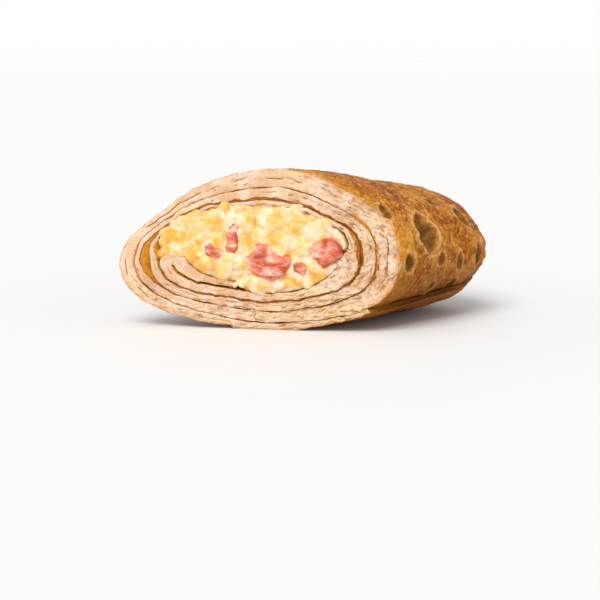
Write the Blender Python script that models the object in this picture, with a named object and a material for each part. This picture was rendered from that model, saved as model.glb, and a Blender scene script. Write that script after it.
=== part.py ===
"""Half of a rolled crepe, cut on the slant, filled with creamed egg and diced ham.

One browned crepe, its side folded in, is wound round the filling. The roll lies along +Y with its
slanted cut towards -Y, rests on a flattened underside at z = 0, and is closed by the folded edge
at +Y. Sizes are in metres.
"""

import math
import random

import bmesh
import bpy
from mathutils import Matrix, Vector, geometry, noise

MM = 0.001

# Outside of the roll. "Cut" is the slanted face, "end" the folded edge.
CUT_WIDTH = 51.6 * MM
CUT_HEIGHT = 36.0 * MM
END_WIDTH = 47.5 * MM
END_HEIGHT = 30.5 * MM
HALF_LENGTH = 59.0 * MM
CUT_SLANT = math.radians(38.0)
END_TUCK = 2.2 * MM
TUCK_START = 0.80
END_DROP = 6.5 * MM
END_REACH = 11.0 * MM
END_ROUNDING = 3.2 * MM
CORE_RECESS = 2.0 * MM
FLAT_LIFT = 0.75 * MM

# Where the outline at the cut leaves an ellipse: angle, share of the radius, spread of angle.
OUTLINE_FEATURES = (
    (142.0, -0.185, 36.0),  # straight slope down to the left
    (78.0, 0.065, 24.0),  # crown
    (212.0, 0.075, 22.0),  # drooping left edge
    (318.0, 0.090, 24.0),  # fuller lower right
)

# Sheet thickness along the winding: turns from the outer edge, at the cut, at the end.
# The outer turn is two sheets thick, because the crepe's side is folded in under it. The first
# turns are pressed thinner where they bend round the left of the cut.
SHEET_KNOTS = (
    (0.00, 0.8 * MM, 1.1 * MM),
    (0.10, 1.2 * MM, 1.6 * MM),
    (0.32, 3.8 * MM, 4.4 * MM),
    (0.90, 3.8 * MM, 4.4 * MM),
    (1.12, 2.2 * MM, 3.7 * MM),
    (1.90, 2.2 * MM, 3.7 * MM),
    (2.15, 1.8 * MM, 2.6 * MM),
    (2.50, 1.0 * MM, 2.4 * MM),
    (2.72, 1.0 * MM, 2.4 * MM),
    (2.84, 1.3 * MM, 2.4 * MM),
    (2.94, 3.6 * MM, 2.4 * MM),
    (3.08, 1.8 * MM, 2.4 * MM),
    (3.40, 2.3 * MM, 2.2 * MM),
)
LEFT_THINNING = (208.0, 1.15 * MM, 36.0)
THINNED_TURNS = 2.0
WINDING = 3.305
POINTS_PER_TURN = 40
EDGE_ANGLE_AT_CUT = math.radians(-44.0)
EDGE_ANGLE_AT_END = math.radians(-30.0)

# Gaps between the turns, wider where the browned skins part at the left and at the right.
TURN_GAP = 0.32 * MM
LOOSE_GAP = 0.45 * MM
LEFT_PARTING = (194.0, 1.3 * MM, 22.0)
RIGHT_PARTING = (2.0, 0.40 * MM, 24.0)
SQUEEZE = (150.0, 0.42, 38.0)

# The inner edge of the sheet doubles back on itself and lies on the turn below.
FOLD_GAP_AT_CUT = 0.45 * MM
FOLD_GAP_AT_END = 0.25 * MM
FOLD_STEPS = 8
TAIL_THICKNESS_AT_CUT = 2.7 * MM
TAIL_THICKNESS_AT_END = 0.9 * MM
TAIL_TAPER = 0.5
TAIL_TURNS = 0.13
TAIL_STEPS = 6

# Relief of the cut face and of the skin.
GROOVE_DEPTH = 0.8 * MM
GROOVE_HALF_SHARE = 0.09
STEP_BETWEEN_TURNS = 0.35 * MM
SKIN_WAVE = 0.28 * MM

STATIONS = (0.0, 0.05, 0.2, 0.36, 0.52, 0.68, 0.82, 0.92, 1.0)
EDGE_ROUND_STEPS = 4

# The filling: a core that fills the hollow, with curds fused on at the cut.
FILLING_CLEARANCE = 0.5 * MM
FILLING_SMOOTHING = 0.9
FILLING_POINTS = 44
FILLING_RINGS = 3
FILLING_FACE_RECESS = 0.9 * MM
FILLING_STATIONS = STATIONS[:-1]
HOLLOW_MIDDLE_AT_CUT = (0.0 * MM, 1.0 * MM)
HOLLOW_MIDDLE_AT_END = (1.5 * MM, 1.4 * MM)
MARCH_STEP = 0.2 * MM
CURD_SPACING = 4.5 * MM
CURD_RADIUS = (2.6 * MM, 3.7 * MM)
CURD_STAND = 0.5 * MM
CURD_SEED = 7

# Ham pieces: place along and up on the cut face, how far it stands out, size, turn.
HAM_GAP = 0.3 * MM
HAM_SEED = 3
HAM_PIECES = (
    (1.7 * MM, 15.2 * MM, 1.2 * MM, (9.8 * MM, 8.0 * MM, 5.6 * MM), 32.0),
    (15.5 * MM, 18.0 * MM, 1.1 * MM, (6.6 * MM, 6.4 * MM, 4.6 * MM), -36.0),
    (-5.6 * MM, 20.6 * MM, 0.9 * MM, (2.6 * MM, 8.0 * MM, 6.0 * MM), 8.0),
    (-10.2 * MM, 17.2 * MM, 0.7 * MM, (5.0 * MM, 3.6 * MM, 5.0 * MM), 24.0),
    (9.3 * MM, 14.2 * MM, 0.9 * MM, (3.4 * MM, 2.8 * MM, 3.4 * MM), 12.0),
)

COLOURS = {
    "crepe": (0.62, 0.33, 0.11),
    "filling": (0.90, 0.74, 0.38),
    "ham": (0.80, 0.36, 0.32),
}


def lerp(a, b, share):
    return a + (b - a) * share


def smooth(share):
    share = min(1.0, max(0.0, share))
    return share * share * (3.0 - 2.0 * share)


def bump(angle, feature):
    """Height at an angle in radians of a feature: (angle in degrees, height, spread in degrees)."""
    centre, height, spread = feature
    off = (math.degrees(angle) - centre + 180.0) % 360.0 - 180.0
    return height * math.exp(-((off / spread) ** 2))


def tuck(along):
    return max(0.0, (along - TUCK_START) / (1.0 - TUCK_START)) ** 2 * END_TUCK


def half_width(along):
    return lerp(CUT_WIDTH, END_WIDTH, smooth(along)) / 2 - tuck(along)


def half_height(along):
    return lerp(CUT_HEIGHT, END_HEIGHT, smooth(along)) / 2 - tuck(along) / 2


def centre_height(along):
    return lerp(CUT_HEIGHT, END_HEIGHT, smooth(along)) / 2


def edge_angle(turns, along):
    """Direction from the roll's middle at so many turns inwards from the sheet's outer edge."""
    return lerp(EDGE_ANGLE_AT_CUT, EDGE_ANGLE_AT_END, along) - 2 * math.pi * turns


def thickness(turns, along):
    thinned = 0.0
    if turns < THINNED_TURNS:
        thinned = bump(edge_angle(turns, along), LEFT_THINNING) * (1.0 - smooth(along))
    for (a, cut_a, end_a), (b, cut_b, end_b) in zip(SHEET_KNOTS, SHEET_KNOTS[1:]):
        if turns <= b:
            share = smooth((turns - a) / (b - a))
            return lerp(lerp(cut_a, cut_b, share), lerp(end_a, end_b, share), smooth(along)) - thinned
    return lerp(SHEET_KNOTS[-1][1], SHEET_KNOTS[-1][2], smooth(along))


def gap(turns, along):
    """Free space on the outer side of the sheet at so many turns."""
    angle = edge_angle(turns, along)
    looseness = smooth((turns - 1.9) / 0.35) * (1.0 - smooth((turns - 2.95) / 0.1))
    parting = bump(angle, LEFT_PARTING) + bump(angle, RIGHT_PARTING)
    return lerp(TURN_GAP, LOOSE_GAP + parting * (1.0 - smooth(along)), looseness)


def depth(turns, along):
    """How far the sheet's outer side lies inside the roll's outline."""
    if turns <= 1.0:
        return turns * (thickness(0.0, along) + gap(1.0, along))
    return depth(turns - 1.0, along) + thickness(turns - 1.0, along) + gap(turns, along)


def on_section(angle, inset, along):
    """The point at an angle, so far inside the outline, of the section at a share of the length."""
    fade = 1.0 - smooth(along)
    radius = 1.0 + fade * sum(bump(angle, feature) for feature in OUTLINE_FEATURES)
    inset *= 1.0 - fade * bump(angle, SQUEEZE)
    wave = SKIN_WAVE * math.sin(5 * angle + 9 * along) * math.sin(7 * along + 2 * angle)
    across = (half_width(along) - inset + wave) * radius * math.cos(angle)
    up = (half_height(along) - inset + wave) * radius * math.sin(angle)
    return Vector((across, centre_height(along) + up))


def winding_sides(along):
    """Outer and inner side points of the sheet, from its outer edge to the tip of its folded tail."""
    outer, inner, winding = [], [], []
    for i in range(round(WINDING * POINTS_PER_TURN) + 1):
        turns = i / POINTS_PER_TURN
        angle = edge_angle(turns, along)
        inset = depth(turns, along)
        outer.append(on_section(angle, inset, along))
        inner.append(on_section(angle, inset + thickness(turns, along), along))
        winding.append(turns)
    add_tail(outer, inner, winding, along)
    return outer, inner, winding


def add_tail(outer, inner, winding, along):
    """Folds the sheet's inner edge back to the right, over the turn that it lies on."""
    tail_thickness = lerp(TAIL_THICKNESS_AT_CUT, TAIL_THICKNESS_AT_END, smooth(along))
    fold_gap = lerp(FOLD_GAP_AT_CUT, FOLD_GAP_AT_END, smooth(along))
    tail = []
    for k in range(TAIL_STEPS + 1):
        turns = WINDING - TAIL_TURNS * k / TAIL_STEPS
        angle = edge_angle(turns, along)
        floor = depth(turns, along) + thickness(turns, along) + fold_gap
        taper = 1.0 - TAIL_TAPER * smooth(k / TAIL_STEPS)
        low = on_section(angle, floor, along)
        tail.append((on_section(angle, floor + tail_thickness * taper, along), low))
    start_outer, start_inner = outer[-1], inner[-1]
    heading = (start_outer + start_inner) / 2 - (outer[-2] + inner[-2]) / 2
    heading.normalize()
    pivot = (start_inner + tail[0][1]) / 2
    for k in range(1, FOLD_STEPS):
        angle = math.pi * k / FOLD_STEPS
        share = k / FOLD_STEPS
        radius_out = lerp((start_outer - pivot).length, (tail[0][0] - pivot).length, share)
        radius_in = lerp((start_inner - pivot).length, (tail[0][1] - pivot).length, share)
        away = (start_outer - pivot).normalized()
        direction = away * math.cos(angle) + heading * math.sin(angle)
        outer.append(pivot + direction * radius_out)
        inner.append(pivot + direction * radius_in)
        winding.append(WINDING)
    for upper, lower in tail:
        outer.append(upper)
        inner.append(lower)
        winding.append(WINDING)


def cut_y(across):
    return across * math.tan(CUT_SLANT)


def end_y(inset, turns):
    """Where the sheet's folded edge starts to round, domed towards the roll's middle."""
    drop = END_DROP * max(0.0, 1.0 - inset / END_REACH) ** 2
    recess = CORE_RECESS * smooth((turns - 1.9) / 0.5)
    unevenness = 0.5 * MM * math.sin(2 * math.pi * turns * 2.3)
    return HALF_LENGTH - END_ROUNDING - drop - recess + unevenness


def crepe_loops():
    """One closed loop of points for each point of the winding, running round the sheet's section."""
    sides = [winding_sides(along) for along in STATIONS]
    winding = sides[0][2]
    loops = []
    for i, turns in enumerate(winding):
        inset = depth(turns, 1.0)
        outer_end = end_y(inset, turns)
        inner_end = end_y(inset + thickness(turns, 1.0), turns)
        outer, inner = [], []
        for along, (outer_side, inner_side, _) in zip(STATIONS, sides):
            a, b = outer_side[i], inner_side[i]
            outer.append(Vector((a.x, lerp(cut_y(a.x), outer_end, along), a.y)))
            inner.append(Vector((b.x, lerp(cut_y(b.x), inner_end, along), b.y)))
        face = cut_points(outer[0], inner[0], turns)
        fold = rounded_edge(outer[-1], inner[-1])
        loops.append(face + outer[1:] + fold + inner[:0:-1])
    return loops


def cut_points(outer, inner, turns):
    """The sheet's section on the cut face: two layers with a groove where the crepe is doubled."""
    doubled = smooth((turns - 0.08) / 0.1) * (1.0 - smooth((turns - 0.95) / 0.1))
    stand = Vector((0.0, -STEP_BETWEEN_TURNS * 0.5 * (1.0 + math.sin(5.0 * turns)), 0.0))
    groove = Vector((0.0, GROOVE_DEPTH * doubled, 0.0))
    middle = outer.lerp(inner, 0.5)
    before = outer.lerp(inner, 0.5 - GROOVE_HALF_SHARE)
    after = outer.lerp(inner, 0.5 + GROOVE_HALF_SHARE)
    return [inner, after + stand, middle + stand + groove, before + stand, outer]


def rounded_edge(outer, inner):
    """Points of the half-round fold between the ends of the outer and inner sides."""
    width = (outer - inner).length
    points = []
    for k in range(1, EDGE_ROUND_STEPS):
        angle = math.pi * k / EDGE_ROUND_STEPS
        point = outer.lerp(inner, (1.0 - math.cos(angle)) / 2)
        point.y += math.sin(angle) * min(width, 5 * MM) / 2
        points.append(point)
    return points


def rest_flat(point):
    """Flattens the underside, so that the roll sits level."""
    if point.z < FLAT_LIFT:
        point.z = 0.0
    return point


def make_crepe():
    mesh = bmesh.new()
    rows = [[mesh.verts.new(rest_flat(p)) for p in loop] for loop in crepe_loops()]
    bridge(mesh, rows, True)
    for row in (rows[0], rows[-1]):
        cap_sheet_end(mesh, row)
    bmesh.ops.recalc_face_normals(mesh, faces=mesh.faces)
    return add_object("crepe", mesh, "crepe")


def bridge(mesh, rows, closed):
    """Faces between neighbouring rows of equally many vertices."""
    size = len(rows[0])
    for first, second in zip(rows, rows[1:]):
        for k in range(size if closed else size - 1):
            n = (k + 1) % size
            mesh.faces.new((first[k], first[n], second[n], second[k]))


def cap_sheet_end(mesh, row):
    """Closes the sheet's long outer or inner edge, pairing points of its two sides."""
    left, right = 2, 2
    size = len(row)
    far = 2 + size // 2
    while left < far or right > far - size:
        corners = [left, min(left + 1, far), max(right - 1, far - size), right]
        verts = []
        for index in corners:
            if row[index % size] not in verts:
                verts.append(row[index % size])
        if len(verts) > 2:
            mesh.faces.new(verts)
        left, right = corners[1], corners[2]


def hollow_middle(along):
    """A place inside the hollow from which all of it can be reached in a straight line."""
    across = lerp(HOLLOW_MIDDLE_AT_CUT[0], HOLLOW_MIDDLE_AT_END[0], smooth(along))
    up = lerp(HOLLOW_MIDDLE_AT_CUT[1], HOLLOW_MIDDLE_AT_END[1], smooth(along))
    return Vector((across, centre_height(along) + up))


def hollow_radii(along):
    """For evenly spaced angles, how far the hollow inside the sheet reaches from its middle."""
    outer, inner, _ = winding_sides(along)
    inwards = outer[-TAIL_STEPS - FOLD_STEPS:]
    walls = list(zip(inner[-2 * POINTS_PER_TURN:], inner[-2 * POINTS_PER_TURN + 1:]))
    walls += list(zip(inwards, inwards[1:]))
    middle = hollow_middle(along)
    radii = []
    for k in range(FILLING_POINTS):
        angle = 2 * math.pi * k / FILLING_POINTS
        ray = Vector((math.cos(angle), math.sin(angle)))
        reach = 0.0
        while clear_of(middle + ray * (reach + MARCH_STEP), walls, FILLING_CLEARANCE):
            reach += MARCH_STEP
        radii.append(reach)
    neighbours = [min(radii[k - 1], radii[(k + 1) % FILLING_POINTS]) for k in range(FILLING_POINTS)]
    return [lerp(radius, min(radius, near), FILLING_SMOOTHING) for radius, near in zip(radii, neighbours)]


def clear_of(point, walls, distance):
    for a, b in walls:
        nearest, share = geometry.intersect_point_line(point, a, b)
        nearest = a if share < 0.0 else b if share > 1.0 else nearest
        if (point - nearest).length < distance:
            return False
    return True


def make_filling_core():
    """The filling as a plain plug that follows the hollow from the cut to the folded edge."""
    mesh = bmesh.new()
    rows = []
    for along in FILLING_STATIONS:
        radii = hollow_radii(along)
        middle = hollow_middle(along)
        row = []
        for k, radius in enumerate(radii):
            angle = 2 * math.pi * k / FILLING_POINTS
            x = middle.x + radius * math.cos(angle)
            near = cut_y(x) + FILLING_FACE_RECESS
            far = end_y(depth(3.0, 1.0), 3.0)
            row.append(mesh.verts.new((x, lerp(near, far, along), middle.y + radius * math.sin(angle))))
        rows.append(row)
    bridge(mesh, rows, True)
    for row in (rows[0], rows[-1]):
        fill_with_rings(mesh, row)
    bmesh.ops.recalc_face_normals(mesh, faces=mesh.faces)
    return add_object("filling", mesh, "filling"), hollow_radii(0.0)


def fill_with_rings(mesh, rim):
    """Closes an end of the plug with rings that shrink to a middle point."""
    middle = sum((v.co for v in rim), Vector()) / len(rim)
    rows = [rim]
    for ring in range(1, FILLING_RINGS):
        share = ring / FILLING_RINGS
        rows.append([mesh.verts.new(v.co.lerp(middle, share)) for v in rim])
    bridge(mesh, rows, True)
    centre = mesh.verts.new(middle)
    last = rows[-1]
    for k in range(len(last)):
        mesh.faces.new((last[k], last[(k + 1) % len(last)], centre))


def face_point(along_face, up):
    """A place on the cut face in space."""
    across = along_face * math.cos(CUT_SLANT)
    return Vector((across, cut_y(across), up))


def face_normal():
    return Vector((math.sin(CUT_SLANT), -math.cos(CUT_SLANT), 0.0))


def curd_places(radii):
    """Places across and up for curds, spread evenly over the hollow's section at the cut."""
    rng = random.Random(CURD_SEED)
    middle = hollow_middle(0.0)
    places = []
    rows = int(CUT_HEIGHT / CURD_SPACING) + 1
    columns = int(CUT_WIDTH / CURD_SPACING) + 1
    for row in range(-rows // 2, rows // 2 + 1):
        for column in range(-columns // 2, columns // 2 + 1):
            x = (column + 0.5 * (row % 2) + rng.uniform(-0.25, 0.25)) * CURD_SPACING * 0.9
            z = (row + rng.uniform(-0.25, 0.25)) * CURD_SPACING * 0.86
            size = rng.uniform(*CURD_RADIUS)
            spin = rng.uniform(0.0, math.pi)
            angle = math.atan2(z, x) % (2 * math.pi)
            reach = radii[round(angle / (2 * math.pi) * FILLING_POINTS) % FILLING_POINTS]
            if math.hypot(x, z) < reach - size * 0.8:
                places.append((middle.x + x, middle.y + z, size, spin))
    return places


def make_curd(place, number):
    x, z, size, spin = place
    mesh = bmesh.new()
    bmesh.ops.create_icosphere(mesh, subdivisions=2, radius=size)
    shift = Vector((number * 3.1, number * 1.7, 0.4))
    for vert in mesh.verts:
        swell = noise.noise(vert.co / size * 1.3 + shift)
        vert.co *= 1.0 + 0.22 * swell
    squash = Matrix.Diagonal((1.0, 0.62, 0.82, 1.0))
    centre = Vector((x, cut_y(x), z)) - face_normal() * (size * 0.62 - CURD_STAND)
    turn = Matrix.Rotation(CUT_SLANT, 4, "Z") @ Matrix.Rotation(spin, 4, "Y")
    mesh.transform(Matrix.Translation(centre) @ turn @ squash)
    return add_object("curd_%d" % number, mesh, "filling")


def fuse(target, pieces, operation):
    """Joins pieces to the target, or cuts them out of it, and removes them."""
    group = bpy.data.collections.new("pieces")
    for piece in pieces:
        group.objects.link(piece)
    step = target.modifiers.new("fuse", "BOOLEAN")
    step.operation = operation
    step.operand_type = "COLLECTION"
    step.collection = group
    step.solver = "MANIFOLD"
    apply_modifiers(target)
    for piece in pieces:
        bpy.data.objects.remove(piece)
    bpy.data.collections.remove(group)


def apply_modifiers(target):
    graph = bpy.context.evaluated_depsgraph_get()
    made = bpy.data.meshes.new_from_object(target.evaluated_get(graph))
    target.modifiers.clear()
    target.data = made


def make_ham(number, piece, grow=0.0):
    """An irregular chunk of ham with worn corners; grown, it is the room that the chunk takes up."""
    along_face, up, stand, size, turn = piece
    rng = random.Random(HAM_SEED + number)
    mesh = bmesh.new()
    bmesh.ops.create_cube(mesh, size=2.0)
    for vert in mesh.verts:
        vert.co = Vector([c * rng.uniform(0.78, 1.02) for c in vert.co])
    bmesh.ops.bevel(mesh, geom=mesh.edges[:], offset=0.34, segments=2, affect="EDGES", profile=0.6)
    half = Vector((size[0], size[2], size[1])) / 2
    shift = Vector((number * 5.3, 2.0, 1.0))
    for vert in mesh.verts:
        vert.co = Vector([a * b for a, b in zip(vert.co, half)])
        vert.co *= 1.0 + 0.08 * noise.noise(vert.co / (3.0 * MM) + shift)
    mesh.normal_update()
    if grow:
        moves = [vert.normal * grow * 1.15 for vert in mesh.verts]
        for vert, move in zip(mesh.verts, moves):
            vert.co += move
    centre = face_point(along_face, up) - face_normal() * (size[2] / 2 - stand)
    turned = Matrix.Rotation(CUT_SLANT, 4, "Z") @ Matrix.Rotation(math.radians(turn), 4, "Y")
    mesh.transform(Matrix.Translation(centre) @ turned)
    name = "room_%d" % number if grow else "ham_%d" % number
    return add_object(name, mesh, "ham")


def make_filling():
    core, radii = make_filling_core()
    curds = [make_curd(place, number) for number, place in enumerate(curd_places(radii))]
    fuse(core, curds, "UNION")
    rooms = [make_ham(number, piece, HAM_GAP) for number, piece in enumerate(HAM_PIECES, 1)]
    fuse(core, rooms, "DIFFERENCE")


def add_object(name, mesh, slot):
    data = bpy.data.meshes.new(name)
    mesh.to_mesh(data)
    mesh.free()
    data.materials.append(material(slot))
    data.shade_smooth()
    data.set_sharp_from_angle(angle=math.radians(50.0))
    made = bpy.data.objects.new(name, data)
    bpy.context.scene.collection.objects.link(made)
    return made


def material(slot):
    made = bpy.data.materials.get(slot) or bpy.data.materials.new(slot)
    made.use_nodes = True
    shader = made.node_tree.nodes["Principled BSDF"]
    shader.inputs["Base Color"].default_value = (*COLOURS[slot], 1.0)
    shader.inputs["Roughness"].default_value = 0.6
    shader.inputs["Metallic"].default_value = 0.0
    return made


def centre_on_base():
    """Moves everything so that the middle of the underside of the whole is at the origin."""
    made = list(bpy.data.objects)
    corners = [v.co for one in made for v in one.data.vertices]
    low = Vector([min(c[k] for c in corners) for k in range(3)])
    high = Vector([max(c[k] for c in corners) for k in range(3)])
    shift = Vector((-(low.x + high.x) / 2, -(low.y + high.y) / 2, -low.z))
    for one in made:
        one.data.transform(Matrix.Translation(shift))


def clear_scene():
    for old in list(bpy.data.objects):
        bpy.data.objects.remove(old)


def main():
    clear_scene()
    make_crepe()
    make_filling()
    for number, piece in enumerate(HAM_PIECES, 1):
        make_ham(number, piece)
    centre_on_base()


main()
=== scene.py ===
import math
import random

import bmesh
import bpy
import numpy as np
from mathutils import Matrix, Vector, noise


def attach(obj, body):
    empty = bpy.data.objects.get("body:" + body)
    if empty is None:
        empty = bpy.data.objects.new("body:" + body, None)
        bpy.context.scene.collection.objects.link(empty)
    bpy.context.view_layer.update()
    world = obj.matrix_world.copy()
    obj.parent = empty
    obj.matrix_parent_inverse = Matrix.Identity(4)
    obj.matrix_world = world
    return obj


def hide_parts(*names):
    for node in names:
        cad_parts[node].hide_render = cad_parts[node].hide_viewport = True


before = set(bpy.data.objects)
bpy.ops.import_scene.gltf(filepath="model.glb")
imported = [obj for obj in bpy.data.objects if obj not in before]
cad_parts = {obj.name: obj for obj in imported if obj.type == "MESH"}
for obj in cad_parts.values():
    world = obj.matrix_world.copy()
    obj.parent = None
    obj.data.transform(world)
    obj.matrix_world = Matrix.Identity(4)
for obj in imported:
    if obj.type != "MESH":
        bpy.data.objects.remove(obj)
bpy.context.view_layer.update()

MM = 0.001

# The sheet's winding, as in the part's solids. Lengths are in millimetres. A feature is an angle
# around the roll, a height and a spread of angle. SHEET_CUT and SHEET_END are the thicknesses at
# SHEET_TURNS. The FROM and TO pairs are turns and the width of the change there, and END_WAVE is a
# height and the waves in a turn.
CUT_WIDTH = 51.6
CUT_HEIGHT = 36.0
END_WIDTH = 47.5
END_HEIGHT = 30.5
HALF_LENGTH = 59.0
CUT_SLANT = math.radians(38.0)
END_TUCK = 2.2
TUCK_START = 0.80
END_DROP = 6.5
END_REACH = 11.0
END_ROUNDING = 3.2
CORE_RECESS = 2.0
OUTLINE_FEATURES = ((142.0, -0.185, 36.0), (78.0, 0.065, 24.0), (212.0, 0.075, 22.0), (318.0, 0.090, 24.0))
SHEET_TURNS = (0.00, 0.10, 0.32, 0.90, 1.12, 1.90, 2.15, 2.50, 2.72, 2.84, 2.94, 3.08, 3.40)
SHEET_CUT = (0.8, 1.2, 3.8, 3.8, 2.2, 2.2, 1.8, 1.0, 1.0, 1.3, 3.6, 1.8, 2.3)
SHEET_END = (1.1, 1.6, 4.4, 4.4, 3.7, 3.7, 2.6, 2.4, 2.4, 2.4, 2.4, 2.4, 2.2)
LEFT_THINNING = (208.0, 1.15, 36.0)
THINNED_TURNS = 2.0
WINDING = 3.305
EDGE_ANGLE_AT_CUT = math.radians(-44.0)
EDGE_ANGLE_AT_END = math.radians(-30.0)
TURN_GAP = 0.32
LOOSE_GAP = 0.45
LEFT_PARTING = (194.0, 1.3, 22.0)
RIGHT_PARTING = (2.0, 0.40, 24.0)
SQUEEZE = (150.0, 0.42, 38.0)
FOLD_GAP = (0.45, 0.25)
TAIL_THICKNESS = (2.7, 0.9)
TAIL_TAPER = 0.5
TAIL_TURNS = 0.13
SKIN_WAVE = 0.28
LOOSE_FROM = (1.9, 0.35)
LOOSE_TO = (2.95, 0.1)
RECESSED_FROM = (1.9, 0.5)
END_WAVE = (0.5, 2.3)

# From the sheet's own coordinates to the part's frame, and the height of the roll's middle, from
# which directions around it are taken.
SHIFT = (-0.0122, -19.0264, 0.0)
AXIS_HEIGHT = 17.0

# The underside is pressed flat up to the first height, and eases off up to the second.
FLAT_BELOW = 0.35
FLAT_LIFT = 0.75

# How finely the dressed sheet is divided. It is two pieces that meet after SPLIT turns.
COLUMNS_PER_TURN = 480
FOLD_COLUMNS = 26
TAIL_COLUMNS = 56
FACE_POINTS = 17
FOLD_POINTS = 7
SPLIT = 1.13
SKIN_STATIONS = 140
FIRST_STATION = 0.004
LINING_STATIONS = (0, 1, 2, 4, 9, 20, 42, 70, 98, 120, 134, 140)
CORE_STATIONS = (0.0, FIRST_STATION, 0.011, 0.022, 0.045, 0.09, 0.17, 0.3, 0.46, 0.62, 0.78, 0.9, 0.96, 1.0)

# How much of the gap to the next turn the sheet fills: where it is closed, where it is open, and
# behind the cut where the browned skins part, which they do between two numbers of turns.
GAP_CLOSED = 0.96
GAP_OPEN = 0.45
GAP_PARTED_INSIDE = 0.88
LEAST_GAP = 0.04
PARTED_FROM = 1.28
PARTED_TO = 2.2

# On the cut face: the half width of the seam, how deep the marks of the crumb are sunk, and how far
# each turn stands out beyond the next. NEAR_CUT is how far the colour of the cut reaches behind it.
SEAM_WIDTH = 0.15
SEAM_DROP = 0.40
PORE_DROP = 0.30
LINE_DROP = 0.14
RIM_DROP = 0.26
RIB_DEPTH = 0.40
TURN_STEP = 0.25
NEAR_CUT = 2.0

# The egg on the cut face: the middle and half sizes of the oval that curds are strewn over, and
# how far the solid's sides swell towards the sheet.
EGG_SEED = 11
FILLING_OFFSET = 0.4
FILLING_MIDDLE = 18.6
FILLING_HALF = (18.6, 9.6)
FILLING_SWELL = 1.05
CURD_COUNT = 320
EGG_VOXEL = 0.27
EGG_RELAXING = 2

# Egg smeared over the sheet's thin stretch at the upper left, with lumps along its edge.
SMEAR_COUNT = 150
SMEAR_REACH = (-22.4, -8.0)
SMEAR_TOP = ((-23.5, -21.5, -18.0, -13.0, -8.0), (18.0, 22.5, 25.6, 27.2, 27.4))
EDGE_LUMPS = 26
EDGE_REACH = (-21.8, -7.0)

# The folded tail's upper side: places along the cut face and heights. Lumps of egg lie along it:
# place, height, size and how far they stand out.
TAIL_TOP = (
    (-23.5, -20.6, -19.6, -17.0, -15.0, -13.0, -10.0, -4.0, 0.0, 8.0, 16.0),
    (13.5, 12.5, 15.4, 16.0, 14.7, 12.9, 11.4, 9.1, 7.9, 7.2, 8.4),
)
FOLD_LUMPS = (
    (-22.0, 18.6, 1.2, -1.3),
    (-21.7, 17.0, 1.1, -1.3),
    (-18.2, 16.9, 1.1, -1.0),
    (-17.0, 16.7, 1.1, -1.0),
    (-15.8, 16.2, 1.1, -1.0),
    (-14.7, 15.6, 1.1, -1.0),
    (-13.4, 14.6, 1.0, -1.0),
    (-12.0, 13.6, 1.0, -1.0),
    (-10.2, 12.2, 1.2, -1.1),
    (-8.6, 11.0, 1.2, -1.1),
    (-7.2, 10.4, 1.2, -1.1),
    (-5.8, 9.9, 1.2, -1.1),
)

# Where ham lies open on the cut face, and curds keep clear: place, height and reach.
HAM_KEEP = (
    (1.7, 15.2, 3.8),
    (15.8, 17.8, 3.0),
    (-5.9, 18.2, 0.8),
    (-5.6, 20.4, 0.8),
    (-5.3, 22.4, 0.8),
    (-5.1, 24.2, 0.6),
    (-10.2, 17.2, 1.5),
    (9.3, 14.2, 0.9),
)
HAM_PIECES = 5
HAM_VOXEL = 0.22
HAM_RELAXING = 5

FACE_NORMAL = Vector((math.sin(CUT_SLANT), -math.cos(CUT_SLANT), 0.0))

# Pits in the skin where it rose off the pan: direction, place along the roll from the cut's
# middle, half sizes around and along, depth, and tilt of the oval.
PITS = (
    (24.5, 18.6, 2.2, 1.6, 0.9, 0.0),
    (10.0, 29.8, 4.9, 3.2, 1.3, -26.0),
    (-3.1, 22.9, 2.6, 1.9, 0.7, 0.0),
    (-4.1, 34.4, 1.7, 1.4, 0.5, 8.0),
    (-8.5, 41.3, 2.4, 1.2, 0.5, 0.0),
    (18.8, 47.0, 2.8, 2.2, 0.6, -20.0),
    (-5.5, 49.6, 3.4, 2.0, 0.8, 0.0),
    (-22.0, 33.0, 2.0, 1.4, 0.5, 15.0),
    (-24.0, 41.5, 2.2, 1.6, 0.5, -10.0),
    (33.0, 40.0, 1.6, 1.3, 0.35, 0.0),
    (64.0, 30.0, 1.5, 1.8, 0.40, 20.0),
    (100.0, 12.0, 1.8, 1.5, 0.45, 0.0),
    (122.0, 33.0, 2.6, 1.7, 0.60, -30.0),
    (150.0, -6.0, 1.6, 1.2, 0.45, 0.0),
    (165.0, 10.0, 2.6, 1.8, 0.65, 18.0),
    (188.0, 26.0, 3.2, 1.8, 0.80, -15.0),
    (176.0, 42.0, 2.4, 1.8, 0.55, 10.0),
    (214.0, 4.0, 2.2, 1.6, 0.55, 0.0),
    (84.0, 46.0, 1.8, 1.6, 0.45, 0.0),
    (140.0, 47.0, 2.0, 1.5, 0.45, 25.0),
)


def lerp(a, b, share):
    return a + (b - a) * share


def smooth(share):
    share = np.clip(share, 0.0, 1.0)
    return share * share * (3.0 - 2.0 * share)


def step_up(value, start, width):
    """Rises smoothly from 0 to 1 over a width after the start."""
    return smooth((value - start) / width)


def bump(angle, feature):
    """Height at an angle in radians of a feature: (angle in degrees, height, spread in degrees)."""
    centre, height, spread = feature
    off = (np.degrees(angle) - centre + 180.0) % 360.0 - 180.0
    return height * np.exp(-((off / spread) ** 2))


def tuck(along):
    return max(0.0, (along - TUCK_START) / (1.0 - TUCK_START)) ** 2 * END_TUCK


def half_width(along):
    return lerp(CUT_WIDTH, END_WIDTH, smooth(along)) / 2 - tuck(along)


def half_height(along):
    return lerp(CUT_HEIGHT, END_HEIGHT, smooth(along)) / 2 - tuck(along) / 2


def centre_height(along):
    return lerp(CUT_HEIGHT, END_HEIGHT, smooth(along)) / 2


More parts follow.
